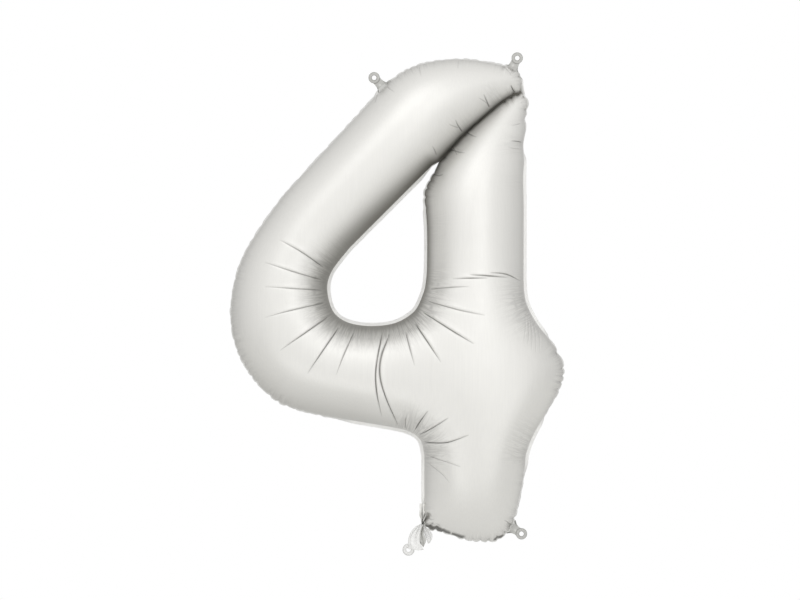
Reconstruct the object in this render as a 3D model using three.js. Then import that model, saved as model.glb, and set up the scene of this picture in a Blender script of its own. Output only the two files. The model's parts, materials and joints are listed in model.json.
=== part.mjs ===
// Foil number balloon "4", hanging by the tab at its top right.
// Millimetres, +Z up, the front faces -Y, origin at the centre of the top right tab's eyelet.
import * as THREE from "three";
import { ConvexHull } from "three/addons/math/ConvexHull.js";

// ---- driving dimensions -------------------------------------------------------------------
const numeralHeight = 860; // foot of the stem to the top of the arm
const stemHalfWidth = 86; // inflated, seam to seam
const junctionRise = 0.45; // share of the extra height kept where limbs meet
const sealWidth = 5.5; // flat heat-sealed margin
const weldHalfWidth = 2.5; // welded line between the arm and the stem's top
const filmThickness = 0.4; // foil panel
const plyGap = 0.3; // between the two plies of the margin
const latticePitch = 24; // facets of the inflated surface
const latticeColumns = [-20, 10]; // either side of the stem's axis, to the arm's bend and the junction's point
const rowShare = 0.866; // height of an even triangle to its side
const latticeClearance = 0.85; // of the pitch, from the lattice to the seam
const closeClearance = 0.4; // of the pitch, between the points of the row next to the seam
const closeRow = 9.12; // from the seam to that row
const seamPitch = 19; // facets of the seam line
const holePitch = 15.2; // the hole's bends are tighter
const sliverArea = 1; // a triangle smaller than this lies along a straight seam and is dropped
const relaxation = 1.6; // of the inflated height's solver
const relaxSweeps = 1500;
const neckBulge = 1.3; // how far the margin opens for the valve films
const neckSpread = 26; // along the margin

const tabThickness = 0.6; // both plies fused
const eyeletRadius = 4.2;
const tabRingRadius = 10;
const tabRootHalf = 15;
const tabRingEnd = Math.PI * 0.18; // the ring runs this far below its middle on each side
const tabFlare = [0.9, 0.2]; // where the sides' curves are drawn to, of the waist and of the reach
const leftTabAngle = 133; // degrees from +X that each tab points in
const rightTabAngle = 65;
const footTabAngle = -34;
const hingeGap = 0.4; // between a moving film and the margin

const valveWidth = 26;
const valveNeckHalf = 5;
const valveLength = 150;
const valveFilm = 0.3;
const valveGap = 0.3;
const valveRootInset = 34; // from the neck to the flap's hinge line
const valveTilt = 0.45; // radians, the valve leans in towards the stem's axis
const valveStart = new THREE.Vector2(-88, 70);

const neckTop = new THREE.Vector2(-92.5, 63);
const pinchPoint = new THREE.Vector2(-91, 36);
const neckWidth = 9;
const pinchWidth = 5;
const neckThickness = 2.4;
const neckTwist = -0.9; // radians from the margin down to the pinch
const frontFilmLean = 0.16; // radians, the front film leans forward below the pinch
const tailGap = 3; // the films start this far below the pinch, to swing clear of the neck
const tailFilm = 0.5;
const tailEyelet = new THREE.Vector2(-27, -46); // from the pinch
const tailRingRadius = 11;
const tailTopHalf = 3;
const filmSetForward = 1; // the front film stands this far before the pinch

const hangEyelet = new THREE.Vector2(75, 862.5); // top right, the origin of the whole part
const leftEyelet = new THREE.Vector2(-179, 827.5);
const footEyelet = new THREE.Vector2(82.5, 18);

// ---- plan outline: x to the right, y up, in the seam plane --------------------------------
const v2 = (x, y) => new THREE.Vector2(x, y);
const points = (list) => list.map(([x, y]) => v2(x, y));

function spaced(path, pitch) {
  return path.getSpacedPoints(Math.max(2, Math.round(path.getLength() / pitch)));
}

function weldCentre() {
  const line = new THREE.SplineCurve(points([[-77, 662], [-22, 727], [37, 781], [77, 801]]));
  return spaced(line, seamPitch);
}

function outerSeam() {
  const seam = new THREE.Path().moveTo(85, 791);
  seam.splineThru(points([[90, 772], [stemHalfWidth + 1, 735]]));
  seam.lineTo(stemHalfWidth, 470);
  seam.splineThru(points([[90, 432], [108, 394], [146, 343], [157, 306], [146, 268], [104, 195], [90, 158]]));
  seam.splineThru(points([[86, 120], [74, 60], [66, 30], [42, 8], [-12, 6], [-57, 19], [-77, 42], [-81, 62],
    [-90, 86]]));
  seam.lineTo(-90, 158);
  seam.splineThru(points([[-98, 186], [-124, 202], [-180, 213]]));
  seam.lineTo(-270, 228);
  seam.splineThru(points([[-353, 255], [-413, 325], [-433, 408], [-412, 508], [-341, 617]]));
  seam.lineTo(-166, 806);
  seam.splineThru(points([[-132, 835], [-90, 853], [-25, numeralHeight], [42, 850], [68, 839], [79, 822]]));
  return spaced(seam, seamPitch);
}

function holeSeam() {
  const seam = new THREE.Path().moveTo(-91, 657);
  seam.lineTo(-222, 526);
  seam.splineThru(points([[-254, 484], [-262, 449], [-248, 408], [-209, 389], [-150, 390], [-108, 412],
    [-89, 456]]));
  seam.lineTo(-86, 560);
  seam.lineTo(-86, 622);
  seam.lineTo(-82, 645);
  return spaced(seam, holePitch);
}

// Moves each point of an open line sideways; left of the way it runs is positive.
function offsetLine(line, distance) {
  return line.map((point, i) => {
    const before = line[Math.max(0, i - 1)];
    const after = line[Math.min(line.length - 1, i + 1)];
    const along = after.clone().sub(before).normalize();
    return v2(point.x - along.y * distance, point.y + along.x * distance);
  });
}

const weld = weldCentre();
const outer = outerSeam();
const hole = holeSeam();
const stemSideOfWeld = offsetLine(weld, -weldHalfWidth);
const armSideOfWeld = offsetLine(weld, weldHalfWidth).reverse();
const seamLoop = [...stemSideOfWeld, ...outer, ...armSideOfWeld, ...hole];
const filmEdge = offsetLine(outer, sealWidth);
const holeEdge = [weld[0], ...offsetLine(hole, sealWidth).slice(1, -1)];

// ---- inflated height over the plan --------------------------------------------------------
function isInside(point, loop) {
  let inside = false;
  for (let i = 0, j = loop.length - 1; i < loop.length; j = i, i += 1) {
    const a = loop[i];
    const b = loop[j];
    const crosses = a.y > point.y !== b.y > point.y;
    if (crosses && point.x < ((b.x - a.x) * (point.y - a.y)) / (b.y - a.y) + a.x) inside = !inside;
  }
  return inside;
}

function distanceToLoop(point, loop) {
  let nearest = Infinity;
  for (let i = 0, j = loop.length - 1; i < loop.length; j = i, i += 1) {
    const edge = loop[i].clone().sub(loop[j]);
    const toPoint = point.clone().sub(loop[j]);
    const part = THREE.MathUtils.clamp(toPoint.dot(edge) / edge.lengthSq(), 0, 1);
    nearest = Math.min(nearest, toPoint.sub(edge.multiplyScalar(part)).length());
  }
  return nearest;
}

// Points inside the seam: a row close to it, where the film is steep, and an even lattice.
function innerPoints(loop) {
  const result = [];
  for (let i = 0; i < loop.length; i += 1) {
    const a = loop[i];
    const b = loop[(i + 1) % loop.length];
    const along = b.clone().sub(a);
    const point = v2((a.x + b.x) / 2 + (along.y / along.length()) * closeRow,
      (a.y + b.y) / 2 - (along.x / along.length()) * closeRow);
    const isFree = result.every((other) => other.distanceTo(point) > latticePitch * closeClearance);
    if (isFree && isInside(point, loop) && distanceToLoop(point, loop) > closeRow * 0.8) result.push(point);
  }
  const rowHeight = latticePitch * rowShare;
  const rows = Math.ceil(numeralHeight / rowHeight);
  for (let row = 0; row <= rows; row += 1) {
    for (let column = latticeColumns[0]; column <= latticeColumns[1]; column += 1) {
      const point = v2((column + (row % 2) / 2) * latticePitch, row * rowHeight);
      const clearance = latticePitch * latticeClearance;
      if (isInside(point, loop) && distanceToLoop(point, loop) > clearance) result.push(point);
    }
  }
  return result;
}

// Delaunay triangles of points in a plane: the underside of the hull of the points on a paraboloid.
function delaunay(plan) {
  const lifted = plan.map((p) => new THREE.Vector3(p.x, p.y, (p.x * p.x + p.y * p.y) / 1000));
  const indexOf = new Map(lifted.map((point, i) => [point, i]));
  const triangles = [];
  for (const face of new ConvexHull().setFromPoints(lifted).faces) {
    if (face.normal.z > -1e-6) continue;
    const corners = [face.getEdge(0), face.getEdge(1), face.getEdge(2)];
    triangles.push(corners.map((edge) => indexOf.get(edge.head().point)));
  }
  return triangles;
}

function centroid(plan, triangle) {
  const [a, b, c] = triangle.map((i) => plan[i]);
  return v2((a.x + b.x + c.x) / 3, (a.y + b.y + c.y) / 3);
}

function doubleArea(plan, triangle) {
  const [a, b, c] = triangle.map((i) => plan[i]);
  return b.clone().sub(a).cross(c.clone().sub(a));
}

function turnedUp(plan, triangle) {
  return doubleArea(plan, triangle) > 0 ? triangle : [triangle[0], triangle[2], triangle[1]];
}

// Pressure on a membrane held at the seam gives phi; sqrt(2 phi) makes a straight limb a round tube.
function inflatedHeights(plan, triangles, fixedCount) {
  const weights = plan.map(() => new Map());
  const load = plan.map(() => 0);
  for (const triangle of triangles) {
    const corners = triangle.map((i) => plan[i]);
    const twiceArea = Math.abs(doubleArea(plan, triangle));
    for (let k = 0; k < 3; k += 1) {
      const i = triangle[(k + 1) % 3];
      const j = triangle[(k + 2) % 3];
      const toI = plan[i].clone().sub(corners[k]);
      const toJ = plan[j].clone().sub(corners[k]);
      const cotangent = toI.dot(toJ) / twiceArea / 2;
      weights[i].set(j, (weights[i].get(j) ?? 0) + cotangent);
      weights[j].set(i, (weights[j].get(i) ?? 0) + cotangent);
      load[triangle[k]] += twiceArea / 6;
    }
  }
  const phi = plan.map(() => 0);
  for (let sweep = 0; sweep < relaxSweeps; sweep += 1) {
    for (let i = fixedCount; i < plan.length; i += 1) {
      let sum = load[i];
      let total = 0;
      for (const [j, weight] of weights[i]) {
        sum += weight * phi[j];
        total += weight;
      }
      phi[i] += relaxation * (sum / total - phi[i]);
    }
  }
  return phi.map((value) => flattened(Math.sqrt(Math.max(0, 2 * value))));
}

// Where the limbs meet, the film can't stretch, so it stands less proud than the pressure alone gives.
function flattened(height) {
  const excess = Math.max(0, height - stemHalfWidth);
  return height - excess * (1 - junctionRise);
}

// ---- one panel: seam, inflated film and flat margin in one closed skin ---------------------
function panelPlan() {
  const plan = [...seamLoop, ...innerPoints(seamLoop)];
  const dome = delaunay(plan)
    .filter((triangle) => Math.abs(doubleArea(plan, triangle)) > sliverArea)
    .filter((triangle) => isInside(centroid(plan, triangle), seamLoop))
    .map((triangle) => turnedUp(plan, triangle));
  const heights = inflatedHeights(plan, dome, seamLoop.length);
  const margin = THREE.ShapeUtils.triangulateShape(filmEdge, [holeEdge, seamLoop]);
  const marginPlan = [...filmEdge, ...holeEdge, ...seamLoop];
  const firstEdge = plan.length;
  const edgeCount = filmEdge.length + holeEdge.length;
  const renumber = (i) => (i < edgeCount ? firstEdge + i : i - edgeCount);
  const totalArea = margin.reduce((sum, triangle) => sum + doubleArea(marginPlan, triangle), 0);
  const flat = margin.map(([a, b, c]) => (totalArea > 0 ? [a, b, c] : [a, c, b]).map(renumber));
  plan.push(...filmEdge, ...holeEdge);
  heights.push(...filmEdge.map(() => 0), ...holeEdge.map(() => 0));
  return { plan, heights, triangles: [...dome, ...flat] };
}

const shared = panelPlan();

function marginLift(point) {
  return neckBulge * Math.exp(-((point.distanceTo(valveStart) / neckSpread) ** 2));
}

// side is -1 for the front panel and 1 for the rear one
function panelGeometry(side) {
  const { plan, heights, triangles } = shared;
  const outside = plan.map((p, i) => new THREE.Vector3(
    p.x, side * (plyGap / 2 + filmThickness + marginLift(p) + heights[i]), p.y));
  const normals = outside.map(() => new THREE.Vector3());
  const facing = side < 0 ? triangles : triangles.map(([a, b, c]) => [a, c, b]);
  for (const [a, b, c] of facing) {
    const normal = outside[b].clone().sub(outside[a]).cross(outside[c].clone().sub(outside[a]));
    for (const i of [a, b, c]) normals[i].add(normal);
  }
  const inside = outside.map((point, i) => {
    const isFlat = heights[i] === 0;
    const inward = isFlat ? new THREE.Vector3(0, side, 0) : normals[i].normalize();
    return point.clone().addScaledVector(inward, -filmThickness);
  });
  const count = plan.length;
  const faces = [...facing, ...facing.map(([a, b, c]) => [a + count, c + count, b + count])];
  faces.push(...rimFaces(facing, count));
  return indexedGeometry([...outside, ...inside], faces);
}

// Walls that join the outer skin to the inner one along every free edge.
function rimFaces(faces, count) {
  const edges = new Set(faces.flatMap(([a, b, c]) => [`${a} ${b}`, `${b} ${c}`, `${c} ${a}`]));
  const walls = [];
  for (const edge of edges) {
    const [a, b] = edge.split(" ").map(Number);
    if (edges.has(`${b} ${a}`)) continue;
    walls.push([b, a, a + count], [b, a + count, b + count]);
  }
  return walls;
}

function indexedGeometry(vertices, faces) {
  const geometry = new THREE.BufferGeometry();
  geometry.setAttribute("position", new THREE.Float32BufferAttribute(vertices.flatMap((p) => p.toArray()), 3));
  geometry.setIndex(faces.flat());
  geometry.computeVertexNormals();
  return geometry;
}

function eyeletPath(x, y) {
  const sides = 16;
  const corners = [];
  for (let k = 0; k < sides; k += 1) {
    const angle = (2 * Math.PI * k) / sides;
    corners.push(v2(x + eyeletRadius * Math.cos(angle), y + eyeletRadius * Math.sin(angle)));
  }
  return new THREE.Path(corners);
}

// ---- hang tabs: a waisted film tongue with an eyelet ----------------------------------------
function tabShape(reach) {
  const waistHalf = tabRingRadius * Math.cos(tabRingEnd);
  const waistHeight = reach - tabRingRadius * Math.sin(tabRingEnd);
  const flareHalf = waistHalf * tabFlare[0];
  const flareHeight = reach * tabFlare[1];
  const shape = new THREE.Shape().moveTo(-tabRootHalf, 0);
  shape.quadraticCurveTo(-flareHalf, flareHeight, -waistHalf, waistHeight);
  const ring = new THREE.Path().absarc(0, reach, tabRingRadius, Math.PI + tabRingEnd, -tabRingEnd, true);
  ring.getPoints(10).slice(1, -1).forEach((point) => shape.lineTo(point.x, point.y));
  shape.lineTo(waistHalf, waistHeight);
  shape.quadraticCurveTo(flareHalf, flareHeight, tabRootHalf, 0);
  shape.holes.push(eyeletPath(0, reach));
  return shape;
}

// The tab stands out from the margin's edge in the direction of an angle, and ends round its eyelet.
function hangTab(name, eyelet, outwardDegrees, material) {
  const outward = THREE.MathUtils.degToRad(outwardDegrees);
  const direction = v2(Math.cos(outward), Math.sin(outward));
  const nearby = filmEdge.filter((point) => point.distanceTo(eyelet) < tabRootHalf * 3);
  const rootLine = Math.max(...nearby.map((point) => point.dot(direction))) + hingeGap;
  const reach = eyelet.dot(direction) - rootLine;
  const geometry = new THREE.ExtrudeGeometry(tabShape(reach), {
    depth: tabThickness, bevelEnabled: false, curveSegments: 8,
  });
  geometry.translate(0, -reach, -tabThickness / 2);
  geometry.rotateX(Math.PI / 2);
  geometry.rotateY(Math.PI / 2 - outward);
  const tab = namedMesh(name, geometry, material);
  tab.position.set(eyelet.x, 0, eyelet.y);
  return tab;
}

// ---- valve: two thin strips lying face to face, from the neck up into the stem --------------
function stripHalfWidth(along) {
  return THREE.MathUtils.lerp(valveNeckHalf, valveWidth / 2, Math.min(1, along / valveRootInset));
}

function valveStrip(name, from, to, yCentre, material) {
  const shape = new THREE.Shape().moveTo(-stripHalfWidth(from), from);
  if (from < valveRootInset && to > valveRootInset) shape.lineTo(-valveWidth / 2, valveRootInset);
  shape.lineTo(-stripHalfWidth(to), to);
  shape.lineTo(stripHalfWidth(to), to);
  if (from < valveRootInset && to > valveRootInset) shape.lineTo(valveWidth / 2, valveRootInset);
  shape.lineTo(stripHalfWidth(from), from);
  const geometry = new THREE.ExtrudeGeometry(shape, { depth: valveFilm, bevelEnabled: false });
  geometry.translate(0, 0, -valveFilm / 2);
  geometry.rotateX(Math.PI / 2);
  geometry.rotateY(valveTilt);
  const strip = namedMesh(name, geometry, material);
  strip.position.set(valveStart.x, yCentre, valveStart.y);
  return strip;
}

// ---- neck and tail: film lobes that fan out below the pinch ---------------------------------
// A lobe is lofted down a curved midline; each station gives its place, half width and depth.
function loftedFilm(stations, thickness) {
  const ring = 5; // points across each face
  const vertices = [];
  const faces = [];
  const size = ring * 2;
  for (const { x, y, z, half, cup, turn } of stations) {
    for (let k = 0; k < size; k += 1) {
      const isBack = k >= ring;
      const across = ((isBack ? size - 1 - k : k) / (ring - 1)) * 2 - 1;
      const bend = cup * (1 - across * across);
      const away = (isBack ? 1 : -1) * thickness * 0.5;
      const side = across * half;
      vertices.push(new THREE.Vector3(
        x + side * Math.cos(turn) - (bend + away) * Math.sin(turn),
        y + side * Math.sin(turn) + (bend + away) * Math.cos(turn), z));
    }
  }
  for (let s = 0; s + 1 < stations.length; s += 1) {
    for (let k = 0; k < size; k += 1) {
      const a = s * size + k;
      const b = s * size + ((k + 1) % size);
      faces.push([a, a + size, b], [b, a + size, b + size]);
    }
  }
  const last = (stations.length - 1) * size;
  for (let k = 0; k + 1 < ring; k += 1) {
    const opposite = size - 1 - k;
    faces.push([k, k + 1, opposite], [k + 1, opposite - 1, opposite]);
    faces.push([last + k, last + opposite, last + k + 1], [last + k + 1, last + opposite, last + opposite - 1]);
  }
  return indexedGeometry(vertices, faces);
}

const station = (x, y, z, half, cup, turn) => ({ x, y, z, half, cup, turn });

function neckGather(material) {
  const steps = 5;
  const stations = [];
  for (let k = 0; k <= steps; k += 1) {
    const t = k / steps;
    const centre = neckTop.clone().lerp(pinchPoint, t);
    const half = THREE.MathUtils.lerp(neckWidth, pinchWidth, t) / 2;
    stations.push(station(centre.x, 0, centre.y, half, 0, neckTwist * t));
  }
  return namedMesh("neck_gather", loftedFilm(stations, neckThickness), material);
}

// Stations of a lobe are given from the pinch, from the top down.
function tailLobe(name, stations, material) {
  const lobe = namedMesh(name, loftedFilm(stations, tailFilm), material);
  lobe.position.set(pinchPoint.x, 0, pinchPoint.y);
  return lobe;
}

function tailFrontFilm(material) {
  const { x, y } = tailEyelet;
  const shape = new THREE.Shape().moveTo(-tailTopHalf, -tailGap);
  shape.quadraticCurveTo(-21, -14, -37, y + 4);
  const ring = new THREE.Path().absarc(x, y, tailRingRadius, Math.PI * 0.87, Math.PI * 1.75, false);
  ring.getPoints(8).slice(1).forEach((point) => shape.lineTo(point.x, point.y));
  shape.lineTo(6, y + 5);
  shape.quadraticCurveTo(tailTopHalf, -18, tailTopHalf, -tailGap);
  shape.holes.push(eyeletPath(x, y));
  const geometry = new THREE.ExtrudeGeometry(shape, { depth: tailFilm, bevelEnabled: false, curveSegments: 8 });
  geometry.rotateX(Math.PI / 2 - frontFilmLean);
  const film = namedMesh("tail_front_film", geometry, material);
  film.position.set(pinchPoint.x, -filmSetForward, pinchPoint.y);
  return film;
}

function tailRearFilm(material) {
  return tailLobe("tail_rear_film", [
    station(0.5, 1.1, -tailGap, 2.6, 0.2, 0.1),
    station(3, 3.5, -12, 7, 2, 0.2),
    station(7, 5.5, -22, 9, 2.5, 0.2),
    station(10, 6.5, -30, 7, 2, 0.2),
  ], material);
}

function valveMouthFilm(material) {
  return tailLobe("valve_mouth_film", [
    station(0, 0.1, -tailGap, 2.4, 0, 0),
    station(-0.5, -0.2, -14, 4, 0, 0),
    station(-1, -0.4, -31, 7, 0, 0),
    station(-1.5, -0.4, -43, 2.2, 0, 0),
  ], material);
}

function namedMesh(name, geometry, material) {
  const mesh = new THREE.Mesh(geometry, material);
  mesh.name = name;
  return mesh;
}

// ---- materials ------------------------------------------------------------------------------
const foil = new THREE.MeshStandardMaterial({ color: 0xdedcd6, roughness: 0.35, metalness: 0.85 });
const rearFoil = foil.clone();
const tabFilm = new THREE.MeshStandardMaterial({ color: 0xc9c8c3, roughness: 0.45, metalness: 0.4 });
const neckFilm = new THREE.MeshStandardMaterial({ color: 0xb9b8b2, roughness: 0.4, metalness: 0.7 });
const tailFoil = new THREE.MeshStandardMaterial({ color: 0xe4e4e0, roughness: 0.4, metalness: 0.3 });
const valvePlastic = new THREE.MeshStandardMaterial({ color: 0xe8e8e6, roughness: 0.5, metalness: 0 });

// ---- assembly -------------------------------------------------------------------------------
const group = new THREE.Group();
group.position.set(-hangEyelet.x, 0, -hangEyelet.y);
group.add(namedMesh("front_panel", panelGeometry(-1), foil));
group.add(namedMesh("rear_panel", panelGeometry(1), rearFoil));
group.add(hangTab("top_left_hang_tab", leftEyelet, leftTabAngle, tabFilm));
group.add(hangTab("top_right_hang_tab", hangEyelet, rightTabAngle, tabFilm));
group.add(hangTab("bottom_right_hang_tab", footEyelet, footTabAngle, tabFilm));
const stripOffset = (valveGap + valveFilm) / 2;
group.add(valveStrip("valve_front_film", 0, valveLength, -stripOffset, valvePlastic));
group.add(valveStrip("valve_inlet_film", 0, valveRootInset - hingeGap, stripOffset, valvePlastic));
group.add(valveStrip("valve_rear_film", valveRootInset, valveLength, stripOffset, valvePlastic));
group.add(neckGather(neckFilm));
group.add(tailFrontFilm(tailFoil));
group.add(tailRearFilm(tailFoil));
group.add(valveMouthFilm(valvePlastic));

export default group;
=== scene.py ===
import bpy
import json
import math
import numpy as np
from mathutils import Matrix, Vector, geometry


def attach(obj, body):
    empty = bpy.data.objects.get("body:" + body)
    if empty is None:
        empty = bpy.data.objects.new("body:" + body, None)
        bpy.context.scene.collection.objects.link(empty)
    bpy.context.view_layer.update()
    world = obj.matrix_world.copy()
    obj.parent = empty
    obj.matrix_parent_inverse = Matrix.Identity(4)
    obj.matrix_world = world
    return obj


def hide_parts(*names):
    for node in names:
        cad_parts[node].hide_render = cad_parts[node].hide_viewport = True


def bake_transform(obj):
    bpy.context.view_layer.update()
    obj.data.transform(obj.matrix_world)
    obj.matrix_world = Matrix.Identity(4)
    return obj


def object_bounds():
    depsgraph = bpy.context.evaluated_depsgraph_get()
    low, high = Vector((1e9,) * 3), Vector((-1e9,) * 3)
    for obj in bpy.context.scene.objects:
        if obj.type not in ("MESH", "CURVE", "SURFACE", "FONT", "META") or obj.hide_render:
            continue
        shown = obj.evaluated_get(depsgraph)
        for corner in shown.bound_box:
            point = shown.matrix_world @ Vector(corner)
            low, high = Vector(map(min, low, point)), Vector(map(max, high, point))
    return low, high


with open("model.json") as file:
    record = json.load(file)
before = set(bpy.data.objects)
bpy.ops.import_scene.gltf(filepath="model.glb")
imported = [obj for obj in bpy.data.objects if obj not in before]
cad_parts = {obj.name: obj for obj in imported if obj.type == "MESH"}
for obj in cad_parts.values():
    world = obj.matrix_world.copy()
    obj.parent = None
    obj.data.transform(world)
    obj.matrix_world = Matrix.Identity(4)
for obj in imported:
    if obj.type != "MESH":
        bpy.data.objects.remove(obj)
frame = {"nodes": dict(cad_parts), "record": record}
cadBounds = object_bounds()
print("frame loaded")

# The plan of the numeral, in mm: x from the stem's axis, z from its foot, as the balloon lies flat.
plan = {
    "origin": (75.0, 862.5),  # the top right eyelet, which is the frame's origin
    "stemHalf": 86.0,
    "junctionRise": 0.45,  # share of the extra height kept where limbs meet
    "junctionSoft": 7.0,
    "weldHalf": 1.1,
    "seal": 5.5,
    "plyGap": 0.15,
    "film": 0.3,
    "tipTaper": 34.0,  # over this length from the hole's tip its margin widens to the full seal
    "tipShare": 0.1,
}
weldLine = [("start", (-64, 678)), ("spline", [(-22, 724), (8, 751), (37, 776), (60, 793), (83, 802)])]
outerLine = [
    ("start", (87, 797)),
    ("spline", [(93, 784), (91, 766), (87, 753), (89, 736), (84.5, 707), (87, 677), (85.5, 650),
                (86.5, 600)]),
    ("line", (86, 470)),
    ("spline", [(90, 432), (108, 394), (146, 343), (157, 306), (146, 268), (104, 195), (90, 158)]),
    ("spline", [(86, 120), (74, 62), (65, 33), (50, 14), (32, 6), (-8, 7), (-26, 11), (-42, 17), (-66, 23),
                (-82, 28), (-89, 38), (-91, 62), (-90, 86)]),
    ("line", (-90, 158)),
    ("spline", [(-98, 186), (-124, 202), (-180, 213)]),
    ("line", (-270, 228)),
    ("spline", [(-353, 255), (-413, 325), (-433, 408), (-412, 508), (-341, 617)]),
    ("line", (-166, 806)),
    ("spline", [(-132, 835), (-90, 853), (-25, 860), (42, 851), (67, 844), (79, 833), (84, 816)]),
]
holeLine = [
    ("start", (-76, 672)),
    ("line", (-222, 526)),
    ("spline", [(-254, 484), (-262, 449), (-248, 408), (-209, 389), (-150, 390), (-110, 411), (-93, 442),
                (-87, 468), (-85.2, 500), (-85.2, 556), (-87.5, 594), (-90, 614), (-87, 632), (-78, 650),
                (-70, 664)]),
]


def hermite(b, c, v0, v1, t):
    return (2 * b - 2 * c + v0 + v1) * t ** 3 + (-3 * b + 3 * c - 2 * v0 - v1) * t ** 2 + v0 * t + b


def splineThrough(points):
    # the same even Catmull-Rom curve as the numeral was drawn with
    pts = [np.array(p, float) for p in points]
    out = [pts[0]]
    for i in range(len(pts) - 1):
        a = pts[max(i - 1, 0)]
        b, c = pts[i], pts[i + 1]
        d = pts[min(i + 2, len(pts) - 1)]
        for t in np.linspace(0, 1, 25)[1:]:
            v0, v1 = (c - a) / 2, (d - b) / 2
            out.append(hermite(b, c, v0, v1, t))
    return out


def drawLine(stretches, pitch):
    points = []
    for kind, value in stretches:
        if kind == "start":
            points = [np.array(value, float)]
        elif kind == "line":
            points.append(np.array(value, float))
        else:
            points += splineThrough([points[-1]] + list(value))[1:]
    return evenly(np.array(points), pitch)


def evenly(points, pitch):
    steps = np.linalg.norm(np.diff(points, axis=0), axis=1)
    along = np.concatenate([[0], np.cumsum(steps)])
    count = max(2, int(round(along[-1] / pitch)))
    at = np.linspace(0, along[-1], count + 1)
    return np.stack([np.interp(at, along, points[:, 0]), np.interp(at, along, points[:, 1])], axis=1)


def sideways(points, distance, closed=False):
    # left of the way the line runs is positive
    if closed:
        along = np.roll(points, -1, axis=0) - np.roll(points, 1, axis=0)
    else:
        along = np.gradient(points, axis=0)
    along /= np.linalg.norm(along, axis=1, keepdims=True)
    return points + distance * np.stack([-along[:, 1], along[:, 0]], axis=1)


def insideLoop(points, loop):
    inside = np.zeros(len(points), bool)
    nextOnes = np.roll(loop, -1, axis=0)
    for (ax, ay), (bx, by) in zip(loop, nextOnes):
        crosses = (ay > points[:, 1]) != (by > points[:, 1])
        if not crosses.any():
            continue
        at = (bx - ax) * (points[:, 1] - ay) / (by - ay if by != ay else 1e-12) + ax
        inside ^= crosses & (points[:, 0] < at)
    return inside


def nearest(points, targets):
    # index of the nearest target and the distance to it
    index = np.zeros(len(points), int)
    distance = np.zeros(len(points))
    for first in range(0, len(points), 2000):
        block = points[first:first + 2000]
        gaps = ((block[:, None, :] - targets[None, :, :]) ** 2).sum(axis=2)
        best = gaps.argmin(axis=1)
        index[first:first + 2000] = best
        distance[first:first + 2000] = np.sqrt(gaps[np.arange(len(block)), best])
    return index, distance


# the seam and the free edges of the film
meshPitch = {
    "seam": 2.4, "lattice": 5.5, "rings": (0.5, 1.6, 3.4, 6.0, 9.2, 13.0), "marginRows": (0.35, 0.7),
    "holeEnds": 5, "ringShare": 0.9, "ringFromFold": 0.9, "foldFromSeam": 0.8,
    "rowShare": 0.866, "latticeClearance": 0.6, "foldClearance": 3.0,
    "acrossFold": (-2.0, -1.0, -0.45, -0.2, 0, 0.2, 0.45, 1.0, 2.0),
}
weld = drawLine(weldLine, meshPitch["seam"])
outer = drawLine(outerLine, meshPitch["seam"])
hole = drawLine(holeLine, meshPitch["seam"])
seamLoop = np.concatenate([
    sideways(weld, -plan["weldHalf"]), outer, sideways(weld, plan["weldHalf"])[::-1], hole])
filmEdge = sideways(outer, plan["seal"])
toTip = np.minimum(np.arange(len(hole)), np.arange(len(hole))[::-1]) * meshPitch["seam"]
holeTaper = np.clip(plan["tipShare"] + toTip / plan["tipTaper"], 0, 1)


def holeMargin(share):
    # the margin inside the hole runs out to nothing at its tip
    full = sideways(hole, plan["seal"] * share) - hole
    return hole + full * holeTaper[:, None]


holeEdge = np.concatenate([weld[:1], holeMargin(1.0)[1:-1]])
seamSteps = np.linalg.norm(np.roll(seamLoop, -1, axis=0) - seamLoop, axis=1)
seamAlong = np.concatenate([[0], np.cumsum(seamSteps)[:-1]])
seamInward = seamLoop - sideways(seamLoop, 1.0, closed=True)
print("outline drawn", len(seamLoop))

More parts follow.
